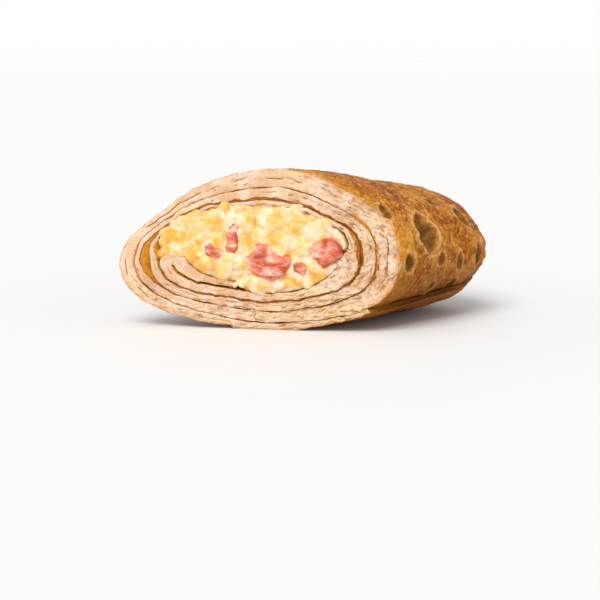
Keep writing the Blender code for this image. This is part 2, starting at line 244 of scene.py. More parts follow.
def edge_angle(turns, along):
    """Direction from the roll's middle at so many turns inwards from the sheet's outer edge."""
    return lerp(EDGE_ANGLE_AT_CUT, EDGE_ANGLE_AT_END, along) - 2 * math.pi * turns


def eased(turns, values):
    """Reads a table over SHEET_TURNS with a smooth step between its entries."""
    turns = np.asarray(turns, dtype=float)
    knots = np.array(SHEET_TURNS)
    values = np.array(values)
    place = np.clip(np.searchsorted(knots, turns) - 1, 0, len(knots) - 2)
    share = smooth((turns - knots[place]) / (knots[place + 1] - knots[place]))
    return lerp(values[place], values[place + 1], share)


def thickness(turns, along):
    thinned = bump(edge_angle(turns, along), LEFT_THINNING) * (1.0 - smooth(along))
    thinned = np.where(np.asarray(turns) < THINNED_TURNS, thinned, 0.0)
    return lerp(eased(turns, SHEET_CUT), eased(turns, SHEET_END), smooth(along)) - thinned


def gap(turns, along):
    """Free space on the outer side of the sheet at so many turns."""
    angle = edge_angle(turns, along)
    looseness = step_up(turns, *LOOSE_FROM) * (1.0 - step_up(turns, *LOOSE_TO))
    parting = bump(angle, LEFT_PARTING) + bump(angle, RIGHT_PARTING)
    return lerp(TURN_GAP, LOOSE_GAP + parting * (1.0 - smooth(along)), looseness)


def depth(turns, along):
    """How far the sheet's outer side lies inside the roll's outline."""
    turns = np.array(turns, dtype=float)
    total = np.zeros_like(turns)
    while (turns > 1.0).any():
        over = turns > 1.0
        step = thickness(turns - 1.0, along) + gap(turns, along)
        total += np.where(over, step, 0.0)
        turns = np.where(over, turns - 1.0, turns)
    return total + turns * (thickness(0.0, along) + gap(1.0, along))


def on_section(angle, inset, along):
    """Across and up of points so far inside the outline, in the section at a share of the length."""
    fade = 1.0 - smooth(along)
    radius = 1.0 + fade * sum(bump(angle, feature) for feature in OUTLINE_FEATURES)
    inset = inset * (1.0 - fade * bump(angle, SQUEEZE))
    wave = SKIN_WAVE * np.sin(5 * angle + 9 * along) * np.sin(7 * along + 2 * angle)
    across = (half_width(along) - inset + wave) * radius * np.cos(angle)
    up = (half_height(along) - inset + wave) * radius * np.sin(angle)
    return np.stack([across, centre_height(along) + up], axis=-1)


def sheet_sides(along):
    """Outer and inner side of the whole sheet in the section at a share of the length."""
    count = round(WINDING * COLUMNS_PER_TURN)
    turns = np.arange(count + 1) / COLUMNS_PER_TURN
    angle = edge_angle(turns, along)
    inset = depth(turns, along)
    outer = on_section(angle, inset, along)
    inner = on_section(angle, inset + thickness(turns, along), along)
    share = np.linspace(0.0, 1.0, TAIL_COLUMNS)
    back = turns[-1] - TAIL_TURNS * share
    angle = edge_angle(back, along)
    floor = depth(back, along) + thickness(back, along) + lerp(*FOLD_GAP, smooth(along))
    tail = lerp(*TAIL_THICKNESS, smooth(along)) * (1.0 - TAIL_TAPER * smooth(share))
    upper = on_section(angle, floor + tail, along)
    lower = on_section(angle, floor, along)
    pivot = (inner[-1] + lower[0]) / 2
    heading = (outer[-1] + inner[-1]) / 2 - (outer[-8] + inner[-8]) / 2
    heading = heading / np.linalg.norm(heading)
    away = (outer[-1] - pivot) / np.linalg.norm(outer[-1] - pivot)
    part = np.arange(1, FOLD_COLUMNS)[:, None] / FOLD_COLUMNS
    direction = away * np.cos(math.pi * part) + heading * np.sin(math.pi * part)
    out_radius = lerp(np.linalg.norm(outer[-1] - pivot), np.linalg.norm(upper[0] - pivot), part)
    in_radius = lerp(np.linalg.norm(inner[-1] - pivot), np.linalg.norm(lower[0] - pivot), part)
    outer = np.concatenate([outer, pivot + direction * out_radius, upper])
    inner = np.concatenate([inner, pivot + direction * in_radius, lower])
    winding = np.concatenate([turns, np.full(FOLD_COLUMNS - 1 + TAIL_COLUMNS, turns[-1])])
    return outer, inner, winding


def cut_y(across):
    return across * math.tan(CUT_SLANT)


def end_y(inset, turns):
    """Where the sheet's folded edge starts to round, domed towards the roll's middle."""
    drop = END_DROP * np.maximum(0.0, 1.0 - inset / END_REACH) ** 2
    recess = CORE_RECESS * step_up(turns, *RECESSED_FROM)
    unevenness = END_WAVE[0] * np.sin(2 * math.pi * turns * END_WAVE[1])
    return HALF_LENGTH - END_ROUNDING - drop - recess + unevenness


def noises(points, scale, offset):
    """Smooth noise between about -1 and 1 at many points."""
    moved = np.asarray(points) * scale + offset
    shape = moved.shape[:-1]
    flat = moved.reshape(-1, 3).tolist()
    return np.array([noise.noise(p) for p in flat]).reshape(shape)


def cells(points, scale, offset):
    """Distance to the nearest of scattered points."""
    moved = np.asarray(points) * scale + offset
    shape = moved.shape[:-1]
    flat = moved.reshape(-1, 3).tolist()
    return np.array([noise.voronoi(p)[0][0] for p in flat]).reshape(shape)


def rest_flat(z):
    """Presses the underside flat without a ledge."""
    eased = (z - FLAT_BELOW) * FLAT_LIFT / (FLAT_LIFT - FLAT_BELOW)
    return np.where(z < FLAT_LIFT, np.maximum(0.0, eased), z)


def pit_relief(points, angle):
    """Depth of the pits, how far inside one a point lies, and how close to a pit's lip."""
    sunk = np.zeros(angle.shape)
    inside = np.zeros(angle.shape)
    lip = np.zeros(angle.shape)
    radius = np.hypot(points[..., 0], points[..., 2] - AXIS_HEIGHT)
    wobble = noises(points, 0.34, 31.0) * 0.34 + noises(points, 0.9, 35.0) * 0.14
    for direction, place, around, lengthwise, drop, tilt in PITS:
        off = (np.degrees(angle) - direction + 180.0) % 360.0 - 180.0
        up = np.radians(off) * radius
        on = points[..., 1] - place
        c, s = math.cos(math.radians(tilt)), math.sin(math.radians(tilt))
        reach = np.hypot((up * c + on * s) / around, (on * c - up * s) / lengthwise) + wobble
        edge = np.exp(-(((reach - 1.08) / 0.15) ** 2))
        sunk += drop * (1.0 - smooth((reach - 0.45) / 0.5)) - 0.30 * drop * edge
        inside = np.maximum(inside, 1.0 - smooth((reach - 0.68) / 0.36))
        lip = np.maximum(lip, edge)
    return sunk, inside, lip


def sheet_piece(name, first, last, stations, inner_stations):
    """One stretch of the sheet as a closed mesh, with what its shaders need kept at the vertices."""
    sides = [sheet_sides(along) for along in stations]
    winding = sides[0][2]
    start = int(np.searchsorted(winding, first))
    stop = len(winding) if last is None else int(np.searchsorted(winding, last)) + 1
    chosen = slice(start, stop)
    turns = winding[chosen]
    outer = np.stack([s[0][chosen] for s in sides], axis=1)
    inner = np.stack([s[1][chosen] for s in sides], axis=1)
    inset = depth(turns, 1.0)
    outer_end = end_y(inset, turns)
    inner_end = end_y(inset + thickness(turns, 1.0), turns)
    share = np.array(stations)
    skin_y = lerp(cut_y(outer[..., 0]), outer_end[:, None], share)
    lining_y = lerp(cut_y(inner[..., 0]), inner_end[:, None], share)
    skin = np.stack([outer[..., 0], skin_y, outer[..., 1]], axis=-1)
    lining = np.stack([inner[..., 0], lining_y, inner[..., 1]], axis=-1)
    angle = np.arctan2(skin[..., 2] - AXIS_HEIGHT, skin[..., 0])
    pit = np.zeros(angle.shape)
    ridge = np.zeros(angle.shape)
    if first == 0.0:
        skin, pit, ridge = relieve_skin(skin, angle)
    skin[..., 2] = rest_flat(skin[..., 2])
    lining = close_layers(lining, turns, sides, start, stations)
    lining = lining[:, [stations.index(s) for s in inner_stations]]
    face, tone, pore, crust = face_points(skin[:, 0], lining[:, 0], turns)
    fold = end_fold(skin[:, -1], lining[:, -1])
    loops = np.concatenate([face, skin[:, 1:], fold, lining[:, :0:-1]], axis=1)
    flat = np.zeros(loops.shape[:2])
    tones = np.concatenate([tone, flat[:, face.shape[1]:]], axis=1)
    pores = np.concatenate([pore, flat[:, face.shape[1]:]], axis=1)
    crusts = np.concatenate([crust, flat[:, face.shape[1]:]], axis=1)
    pits, ridges = flat.copy(), flat.copy()
    on_skin = slice(face.shape[1], face.shape[1] + skin.shape[1] - 1)
    pits[:, on_skin] = pit[:, 1:]
    ridges[:, on_skin] = ridge[:, 1:]
    near_cut = np.exp(-(np.maximum(loops[..., 1] - cut_y(loops[..., 0]), 0.0) / NEAR_CUT))
    torn = flat.copy()
    if first == 0.0:
        torn[:, on_skin] = near_cut[:, on_skin]
    else:
        shadowed = 0.25 + 0.75 * np.clip(bump(edge_angle(turns, 0.0), LEFT_PARTING), 0.0, 1.0)
        near_cut *= shadowed[:, None]
    return grid_object(name, loops, face.shape[1], {
        "tone": tones, "pore": pores, "pit": pits, "ridge": ridges, "near_cut": near_cut,
        "crust": crusts, "torn": torn})


def close_layers(lining, turns, sides, start, stations):
    """Lets the sheet swell against the next turn, but for the open places of the gap at the cut."""
    reach = min(len(turns), round(WINDING * COLUMNS_PER_TURN) + 1 - start - COLUMNS_PER_TURN)
    for place, along in enumerate(stations):
        following = sides[place][0][start + COLUMNS_PER_TURN:start + COLUMNS_PER_TURN + reach]
        near = lining[:reach, place][:, (0, 2)]
        away = following - near
        where = np.stack([lining[:reach, place, 0], turns[:reach] * 9.0, lining[:reach, place, 2]], axis=-1)
        open_place = smooth(0.5 + noises(where, 0.22, 33.0) * 1.9)
        parted = step_up(turns[:reach], PARTED_FROM, 0.06) * (1.0 - step_up(turns[:reach], PARTED_TO, 0.08))
        angle = edge_angle(turns[:reach], along)
        wide = np.clip(bump(angle, LEFT_PARTING) + 2.0 * bump(angle, RIGHT_PARTING), 0.0, 1.0)
        scallop = 0.30 + 0.38 * smooth(0.5 + noises(where, 0.75, 71.0) * 1.8)
        at_parting = lerp(scallop * (1.0 - wide), GAP_PARTED_INSIDE, smooth(along / FIRST_STATION))
        closed = lerp(GAP_CLOSED, GAP_OPEN, open_place) * (1.0 - parted) + parted * at_parting
        width = np.linalg.norm(away, axis=1)
        swell = np.minimum(closed, np.maximum(0.0, 1.0 - LEAST_GAP / np.maximum(width, 0.05)))
        lining[:reach, place, 0] += away[:, 0] * swell
        lining[:reach, place, 2] += away[:, 1] * swell
    return lining


def relieve_skin(skin, angle):
    """Gives the browned skin its pits, ribs, creases and grain."""
    along = np.gradient(skin, axis=1)
    around = np.gradient(skin, axis=0)
    normal = np.cross(along, around)
    normal /= np.linalg.norm(normal, axis=-1, keepdims=True) + 1e-9
    middle = np.stack([skin[..., 0], np.zeros(angle.shape), skin[..., 2] - AXIS_HEIGHT], axis=-1)
    normal *= np.sign((normal * middle).sum(axis=-1, keepdims=True))
    sunk, inside, lip = pit_relief(skin, angle)
    grain = noises(skin, 1.3, 5.0) * 0.10 + noises(skin, (0.40, 0.30, 0.40), 11.0) * 0.22
    creases = np.abs(noises(skin, (0.5, 0.12, 0.5), 17.0))
    grain -= 0.12 * np.exp(-((creases / 0.06) ** 2))
    ribs = np.abs(noises(skin, (0.16, 0.62, 0.16), 27.0))
    ribs = np.exp(-((ribs / 0.045) ** 2)) * smooth(0.35 + noises(skin, 0.13, 37.0) * 2.4)
    grain += 0.16 * ribs
    ridge = np.clip(lip + 0.8 * ribs * (1.0 - inside), 0.0, 1.0)
    return skin + normal * (grain * (1.0 - 0.6 * inside) - sunk)[..., None], inside, ridge


def face_points(outer, inner, turns):
    """The cut section of the sheet: its points, and marks for the shader at each of them.

    u is the length walked along the sheet, v the depth into it from its outer side.
    """
    share = np.linspace(1.0, 0.0, FACE_POINTS)
    points = outer[:, None] + (inner - outer)[:, None] * share[None, :, None]
    middle = (outer + inner) / 2
    walked = np.concatenate([[0.0], np.cumsum(np.linalg.norm(np.diff(middle, axis=0), axis=1))])
    walked += 37.0 * turns[0]
    width = np.linalg.norm(inner - outer, axis=1)
    u = np.repeat(walked[:, None], FACE_POINTS, axis=1)
    v = share[None, :] * width[:, None]
    flat = np.stack([u, v, np.full(u.shape, 3.0)], axis=-1)
    lengthwise = np.stack([u, v * 0, v * 0], axis=-1)

    # The crumb is coarser towards the right and the underside.
    busy = step_up(points[..., 0], 2.0, 16.0)
    busy = np.clip(busy + 0.7 * (1.0 - step_up(points[..., 2], 4.0, 12.0)), 0.0, 1.0)

    # The seam between the two layers of the doubled turn.
    doubled = step_up(turns, 0.10, 0.12) * (1.0 - step_up(turns, 0.94, 0.12))
    waver = 0.5 + 0.16 * noises(lengthwise, 0.14, 2.0)
    waver += 0.05 * noises(lengthwise, 0.8, 12.0)
    seam = np.exp(-(((share[None, :] - waver) * width[:, None] / SEAM_WIDTH) ** 2)) * doubled[:, None]
    seam *= smooth(0.55 + noises(flat * (1.0, 0.0, 1.0), 0.22, 8.0) * 2.2)

    # Pores, and lines between thin layers of the crumb.
    hole = step_up(noises(flat, (0.45, 1.5, 1.0), 21.0), lerp(0.46, 0.30, busy), 0.14)
    small = smooth((0.13 - cells(flat, (0.42, 1.1, 1.0), 4.0)) / 0.09)
    small = small * smooth(0.3 + noises(flat, 0.2, 14.0) * 3.0)
    pore = np.maximum(hole * 0.8, small * lerp(0.4, 0.9, busy))
    line = np.abs(noises(flat, (0.13, 1.25, 1.0), 43.0) + 0.10 * noises(flat, (0.9, 1.0, 1.0), 46.0))
    shown = smooth(lerp(0.15, 0.55, busy) + noises(flat, (0.2, 0.6, 1.0), 51.0) * 2.2)
    line = np.exp(-((line / 0.035) ** 2)) * shown

    # The browned outer and inner sides, wider where they face an open gap.
    break_up = smooth(0.55 + noises(flat * (1.0, 0.0, 1.0), 0.5, 81.0) * 1.8)
    parted = step_up(turns, 1.25, 0.1) * (1.0 - step_up(turns, 2.25, 0.1))
    facing = step_up(turns, 2.25, 0.1)
    rim = np.exp(-((v / lerp(0.17, 0.22, facing)[:, None]) ** 2))
    back = np.exp(-(((1.0 - share[None, :]) * width[:, None] / lerp(0.17, 0.25, parted)[:, None]) ** 2))

    lumps = noises(points, 0.30, 60.0) * lerp(0.30, 0.55, busy)
    lumps = lumps + noises(points, 0.95, 70.0) * lerp(0.10, 0.30, busy)
    ribs = np.abs(noises(flat, (0.5, 0.9, 1.0), 64.0))
    lumps -= RIB_DEPTH * np.exp(-((ribs / 0.10) ** 2)) * busy
    drop = SEAM_DROP * seam + PORE_DROP * pore + LINE_DROP * line + RIM_DROP * (rim + back) - lumps
    drop -= TURN_STEP * np.sin(5.0 * turns)[:, None]
    edge = smooth(np.minimum(share, 1.0 - share)[None, :] * width[:, None] / 0.25)
    pore *= edge
    points = points - np.array(FACE_NORMAL)[None, None, :] * (drop * lerp(0.45, 1.0, edge))[..., None]
    points += face_warp(points, turns)

    tone = np.maximum(0.80 * seam, 0.62 * line)
    tone = np.maximum(tone, back * lerp(0.60 * break_up, 1.0, parted[:, None]))
    tone = np.maximum(tone, rim * lerp(0.50 * break_up, 0.85, facing[:, None]))
    # Painted shade: the crumb is darkened along the sunk creases of its ribs.
    crease = 0.32 * np.exp(-((ribs / 0.07) ** 2)) * busy
    crust = np.exp(-(v / lerp(0.15, 0.55, busy)))
    crust *= 1.0 - step_up(turns, 0.96, 0.08)[:, None]
    return points, np.maximum(tone, crease), pore, crust


def face_warp(points, turns):
    """Wavers the layer lines within the cut face, least at the outline."""
    along_face = np.array((math.cos(CUT_SLANT), math.sin(CUT_SLANT), 0.0))
    upright = np.array((0.0, 0.0, 1.0))
    reach = lerp(0.35, 1.0, step_up(turns, 0.3, 0.8))[:, None]
    sideways = noises(points, 0.42, 101.0) * 0.42 + noises(points, 1.5, 103.0) * 0.13
    upward = noises(points, 0.42, 107.0) * 0.42 + noises(points, 1.5, 109.0) * 0.13
    upward *= step_up(points[..., 2], 0.8, 2.0)
    return (sideways * reach)[..., None] * along_face + (upward * reach)[..., None] * upright


def end_fold(outer, inner):
    """The rounded fold between the ends of the two sides."""
    width = np.minimum(np.linalg.norm(outer - inner, axis=1), 5.0)
    rows = []
    for k in range(1, FOLD_POINTS):
        angle = math.pi * k / FOLD_POINTS
        row = outer + (inner - outer) * (1.0 - math.cos(angle)) / 2
        row[:, 1] += math.sin(angle) * width / 2
        row[:, 1] += noises(row, 0.5, 90.0) * 0.25 * math.sin(angle)
        rows.append(row)
    return np.stack(rows, axis=1)


def grid_object(name, loops, face_count, values):
    """A tube of closed loops, capped at its two long edges. Faces of the cut get material 1."""
    columns, size = loops.shape[:2]
    points = (loops.reshape(-1, 3) + np.array(SHIFT)) * MM
    c, k = np.meshgrid(np.arange(columns - 1), np.arange(size), indexing="ij")
    n = (k + 1) % size
    row, after = c * size, (c + 1) * size
    quads = np.stack([row + k, row + n, after + n, after + k], axis=-1).reshape(-1, 4)
    slots = np.where(k < face_count - 1, 1, 0).reshape(-1)
    caps = []
    half = size // 2
    for base in (0, (columns - 1) * size):
        for step in range(half):
            a, b = step, step + 1
            d, e = size - 1 - step, size - 2 - step
            if b < e:
                caps.append([base + a, base + b, base + e, base + d])
            elif b == e:
                caps.append([base + a, base + b, base + d])
    mesh = bpy.data.meshes.new(name)
    mesh.from_pydata(points.tolist(), [], quads.tolist() + caps)
    mesh.polygons.foreach_set("material_index", np.concatenate([slots, np.zeros(len(caps), dtype=int)]))
    for key, field in values.items():
        keep_value(mesh, key, field.reshape(-1))
    mesh.update()
    made = add(name, mesh)
    fix_normals(mesh)
    return made


def fix_normals(mesh):
    """Turns all faces outwards."""
    work = bmesh.new()
    work.from_mesh(mesh)
    bmesh.ops.recalc_face_normals(work, faces=work.faces)
    work.to_mesh(mesh)
    work.free()


def add(name, mesh):
    """A new smooth-shaded object in the scene."""
    made = bpy.data.objects.new(name, mesh)
    bpy.context.scene.collection.objects.link(made)
    mesh.shade_smooth()
    return made


def stand_for(piece, node):
    """Hangs the piece on the root body and hides the CAD node that it stands for."""
    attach(piece, "root")
    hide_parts(node)


class Shader:
    """A Principled BSDF, and the nodes that feed it with noise in the object's own coordinates."""

    def __init__(self, name):
        self.material = bpy.data.materials.new(name)
        self.material.use_nodes = True
        self.tree = self.material.node_tree
        self.bsdf = self.tree.nodes["Principled BSDF"]
        self.place = self.tree.nodes.new("ShaderNodeTexCoord").outputs["Object"]

    def link(self, source, target):
        self.tree.links.new(source, target)

    def node(self, kind, **values):
        made = self.tree.nodes.new(kind)
        for key, value in values.items():
            setattr(made, key, value)
        return made

    def feed(self, socket, value):
        if isinstance(value, (int, float)):
            socket.default_value = value
        elif isinstance(value, tuple):
            socket.default_value = (*value, 1.0)
        else:
            self.link(value, socket)

    def noise(self, scale, detail, rough, stretch=None, distortion=0.0):
        made = self.node("ShaderNodeTexNoise")
        made.inputs["Scale"].default_value = scale
        made.inputs["Detail"].default_value = detail
        made.inputs["Roughness"].default_value = rough
        made.inputs["Distortion"].default_value = distortion
        self.link(self.stretched(stretch), made.inputs["Vector"])
        return made.outputs["Fac"]

    def stretched(self, stretch):
        if stretch is None:
            return self.place
        made = self.node("ShaderNodeMapping")
        made.inputs["Scale"].default_value = stretch
        self.link(self.place, made.inputs["Vector"])
        return made.outputs["Vector"]

    def ramp(self, value, stops):
        made = self.node("ShaderNodeValToRGB")
        ramp = made.color_ramp
        while len(ramp.elements) < len(stops):
            ramp.elements.new(0.5)
        for element, (position, colour) in zip(ramp.elements, stops):
            element.position = position
            element.color = (*colour, 1.0)
        self.feed(made.inputs["Fac"], value)
        return made.outputs["Color"]

    def span(self, value, low, high, start=0.0, end=1.0):
        """Goes smoothly from start to end as the value goes from low to high."""
        made = self.node("ShaderNodeMapRange", interpolation_type="SMOOTHSTEP")
        for key, number in (("From Min", low), ("From Max", high), ("To Min", start), ("To Max", end)):
            made.inputs[key].default_value = number
        self.feed(made.inputs["Value"], value)
        return made.outputs["Result"]

    def math(self, operation, a, b):
        made = self.node("ShaderNodeMath", operation=operation)
        self.feed(made.inputs[0], a)
        self.feed(made.inputs[1], b)
        return made.outputs[0]

    def mix(self, share, a, b):
        made = self.node("ShaderNodeMix", data_type="RGBA")
        self.feed(made.inputs[0], share)
        self.feed(made.inputs[6], a)
        self.feed(made.inputs[7], b)
        return made.outputs[2]

    def attribute(self, name):
        return self.node("ShaderNodeAttribute", attribute_name=name).outputs["Fac"]

    def finish(self, colour, roughness, bump_from, bump_mm, soft, radius=(1.0, 0.5, 0.25), reach=1.0,
               gloss=0.4):
        """Feeds the shader; soft, radius and reach are its subsurface weight, radius and scale."""
        self.feed(self.bsdf.inputs["Base Color"], colour)
        self.feed(self.bsdf.inputs["Roughness"], roughness)
        made = self.node("ShaderNodeBump")
        made.inputs["Distance"].default_value = bump_mm * MM
        self.feed(made.inputs["Height"], bump_from)
        self.link(made.outputs["Normal"], self.bsdf.inputs["Normal"])
        self.bsdf.inputs["Specular IOR Level"].default_value = gloss
        self.bsdf.inputs["Subsurface Weight"].default_value = soft
        self.bsdf.inputs["Subsurface Radius"].default_value = radius
        self.bsdf.inputs["Subsurface Scale"].default_value = reach * MM
        return self.material


def skin_material():
    """Browned skin: fine mottling, paler flecks, darker scorch, pale lips, olive pits painted darker as
    shade in their hollows, and painted shade towards the underside.
    """
    s = Shader("crepe_skin")
    broad = s.noise(150.0, 3.0, 0.5)
    blotch = s.noise(620.0, 4.0, 0.6, (1.0, 1.0, 0.8), 0.3)
    fine = s.noise(1500.0, 5.0, 0.75, (1.0, 1.0, 0.75))
    tint = s.math("ADD", s.math("MULTIPLY", blotch, 0.42), s.math("MULTIPLY", fine, 0.58))
    tint = s.math("ADD", tint, s.math("MULTIPLY", s.math("SUBTRACT", broad, 0.5), 0.22))
    colour = s.ramp(tint, (
        (0.415, (0.18, 0.042, 0.001)),
        (0.450, (0.30, 0.082, 0.003)),
        (0.500, (0.46, 0.138, 0.006)),
        (0.548, (0.60, 0.215, 0.020)),
        (0.600, (0.81, 0.385, 0.090)),
    ))
    golden = s.span(broad, 0.50, 0.66, 0.0, 0.45)
    colour = s.mix(golden, colour, (0.58, 0.24, 0.030))
    scorch = s.span(s.noise(1250.0, 3.0, 0.6), 0.58, 0.66, 0.0, 0.65)
    colour = s.mix(scorch, colour, (0.19, 0.040, 0.002))
    warm = s.mix(s.span(fine, 0.40, 0.62), (0.72, 0.250, 0.008), (0.86, 0.42, 0.065))
    colour = s.mix(s.math("MULTIPLY", s.attribute("near_cut"), 0.88), colour, warm)
    ragged = s.math("MULTIPLY", s.math("SUBTRACT", s.noise(380.0, 3.0, 0.6), 0.5), 1.5)
    torn = s.span(s.math("ADD", s.attribute("torn"), ragged), 0.84, 0.96, 0.0, 0.9)
    colour = s.mix(torn, colour, (0.84, 0.56, 0.35))
    # The pits' own olive tone, painted darker as shade in their hollows.
    pit = s.mix(s.span(blotch, 0.38, 0.62), (0.13, 0.048, 0.006), (0.25, 0.115, 0.018))
    colour = s.mix(s.math("MULTIPLY", s.attribute("pit"), 0.90), colour, pit)
    lip = s.math("MULTIPLY", s.attribute("ridge"), s.span(fine, 0.36, 0.60, 0.20, 0.85))
    colour = s.mix(lip, colour, (0.80, 0.46, 0.17))
    # Painted shade: the skin is painted darker towards its underside, darkest at the floor and fading out
    # 19 mm up.
    height = s.node("ShaderNodeSeparateXYZ")
    s.link(s.place, height.inputs["Vector"])
    painted_underside_shade = s.span(height.outputs["Z"], 0.004, 0.019, 0.72, 0.0)
    colour = s.mix(painted_underside_shade, colour, (0.19, 0.058, 0.004))
    relief = s.math("ADD", s.math("MULTIPLY", fine, 0.7), s.math("MULTIPLY", blotch, 0.8))
    return s.finish(colour, s.span(blotch, 0.36, 0.64, 0.40, 0.62), relief, 0.40, 0.0, gloss=0.12)


def crumb_material():
    """The pale inside of the sheet where the knife went through."""
    s = Shader("crepe_crumb")
    soft = s.noise(240.0, 4.0, 0.6)
    grain = s.noise(1500.0, 5.0, 0.7)
    base = s.mix(s.span(soft, 0.38, 0.62), (0.76, 0.47, 0.28), (0.88, 0.66, 0.49))
    cream = s.span(s.noise(90.0, 3.0, 0.5), 0.48, 0.62, 0.0, 0.6)
    base = s.mix(cream, base, (0.86, 0.62, 0.35))
    base = s.mix(s.span(grain, 0.54, 0.68, 0.0, 0.35), base, (0.68, 0.38, 0.16))
    wobble = s.math("ADD", s.attribute("tone"), s.math("MULTIPLY", s.math("SUBTRACT", grain, 0.5), 0.8))
    # The tone marks: toasted seams, layer lines and browned sides, and painted shade in the rib creases.
    toasted_and_crease_shade = s.mix(s.span(wobble, 0.35, 0.85), (0.62, 0.27, 0.06), (0.30, 0.075, 0.008))
    colour = s.mix(s.span(wobble, 0.20, 0.60, 0.0, 0.95), base, toasted_and_crease_shade)
    hole = s.math("MULTIPLY", s.attribute("pore"), s.span(grain, 0.36, 0.58, 0.35, 0.85))
    colour = s.mix(hole, colour, (0.48, 0.18, 0.035))
    golden = s.math("MULTIPLY", s.attribute("crust"), s.span(grain, 0.36, 0.62, 0.35, 1.0))
    colour = s.mix(golden, colour, (0.66, 0.28, 0.030))
    return s.finish(colour, 0.55, grain, 0.20, 0.18, gloss=0.25)


# The floor in metres, and the distances from the roll over which it thins out.
FLOOR_SIZE = 60.0
FLOOR_WHITE = (0.82, 0.82, 0.82, 1.0)
FLOOR_FADE = (0.4, 3.5)


def build_floor():
    """A white floor that thins out into the background far from the roll."""
    bpy.ops.mesh.primitive_plane_add(size=FLOOR_SIZE, location=(0.0, 0.0, 0.0))
    floor = bpy.context.object
    floor.name = "floor"
    material = bpy.data.materials.new("floor_white")
    material.use_nodes = True
    nodes, links = material.node_tree.nodes, material.node_tree.links
    shader = nodes["Principled BSDF"]
    shader.inputs["Base Color"].default_value = FLOOR_WHITE
    shader.inputs["Roughness"].default_value = 0.8
    place = nodes.new("ShaderNodeNewGeometry")
    distance = nodes.new("ShaderNodeVectorMath")
    distance.operation = "LENGTH"
    links.new(place.outputs["Position"], distance.inputs[0])
    fade = nodes.new("ShaderNodeMapRange")
    fade.interpolation_type = "SMOOTHSTEP"
    fade.inputs["From Min"].default_value = FLOOR_FADE[0]
    fade.inputs["From Max"].default_value = FLOOR_FADE[1]
    links.new(distance.outputs["Value"], fade.inputs["Value"])
    clear = nodes.new("ShaderNodeBsdfTransparent")
    both = nodes.new("ShaderNodeMixShader")
    links.new(fade.outputs["Result"], both.inputs["Fac"])
    links.new(shader.outputs["BSDF"], both.inputs[1])
    links.new(clear.outputs["BSDF"], both.inputs[2])
    links.new(both.outputs["Shader"], nodes["Material Output"].inputs["Surface"])
    floor.data.materials.append(material)


CAMERA_AZIMUTH = 47.4
CAMERA_ELEVATION = 8.0
CAMERA_DISTANCE = 0.387
CAMERA_LENS = 101.1
CAMERA_SENSOR = 36.0
CAMERA_CLIP = 0.01
CAMERA_SHIFT = (-0.0345, -0.0825)
CAMERA_TARGET = Vector((0.0, 0.0, 0.016))


def outward(azimuth, elevation):
    """The direction from the roll to a place at an azimuth from the front and an elevation, in degrees."""
    a, e = math.radians(azimuth), math.radians(elevation)
    return Vector((math.sin(a) * math.cos(e), -math.cos(a) * math.cos(e), math.sin(e)))


def build_camera():
    back = outward(CAMERA_AZIMUTH, CAMERA_ELEVATION)
    data = bpy.data.cameras.new("camera")
    data.lens = CAMERA_LENS
    data.sensor_width = CAMERA_SENSOR
    data.shift_x, data.shift_y = CAMERA_SHIFT
    data.clip_start = CAMERA_CLIP
    camera = bpy.data.objects.new("camera", data)
    bpy.context.scene.collection.objects.link(camera)
    camera.location = CAMERA_TARGET + back * CAMERA_DISTANCE
    camera.rotation_euler = back.to_track_quat("Z", "Y").to_euler()
    bpy.context.scene.camera = camera


WORLD_AT_HORIZON = 1.0
WORLD_OVERHEAD = 0.62
WORLD_FADE = (0.10, 0.55)
SUN_AZIMUTH = 22.0
SUN_ELEVATION = 56.0
SUN_STRENGTH = 2.0
SUN_SPREAD = 38.0
SUN_COLOUR = (1.0, 0.985, 0.96)


def build_light():
    """A wide soft sun, and a plain white surround that dims overhead."""
    world = bpy.data.worlds.new("studio")
    bpy.context.scene.world = world
    world.use_nodes = True
    tree = world.node_tree
    background = tree.nodes["Background"]
    background.inputs["Color"].default_value = (1.0, 1.0, 1.0, 1.0)
    coordinates = tree.nodes.new("ShaderNodeTexCoord")
    split = tree.nodes.new("ShaderNodeSeparateXYZ")
    fade = tree.nodes.new("ShaderNodeMapRange")
    fade.inputs["From Min"].default_value = WORLD_FADE[0]
    fade.inputs["From Max"].default_value = WORLD_FADE[1]
    fade.inputs["To Min"].default_value = WORLD_AT_HORIZON
    fade.inputs["To Max"].default_value = WORLD_OVERHEAD
    tree.links.new(coordinates.outputs["Generated"], split.inputs["Vector"])
    tree.links.new(split.outputs["Z"], fade.inputs["Value"])
    tree.links.new(fade.outputs["Result"], background.inputs["Strength"])
    away = outward(SUN_AZIMUTH, SUN_ELEVATION)
    data = bpy.data.lights.new("sun", "SUN")
    data.energy = SUN_STRENGTH
    data.angle = math.radians(SUN_SPREAD)
    data.color = SUN_COLOUR
    sun = bpy.data.objects.new("sun", data)
    bpy.context.scene.collection.objects.link(sun)
    sun.rotation_euler = away.to_track_quat("Z", "Y").to_euler()
    bpy.context.scene.view_settings.view_transform = "Standard"


def build_crepe():
    skin_stations = [0.0] + [float(x) for x in np.linspace(FIRST_STATION, 1.0, SKIN_STATIONS)]
    few = [skin_stations[k] for k in LINING_STATIONS]
    outer = sheet_piece("crepe_outer_turn", 0.0, SPLIT, skin_stations, few)
    core = sheet_piece("crepe_inner_turns", SPLIT, None, CORE_STATIONS, CORE_STATIONS)
    skin, crumb = skin_material(), crumb_material()
    for piece in (outer, core):
        piece.data.materials.append(skin)
        piece.data.materials.append(crumb)
        stand_for(piece, "crepe")


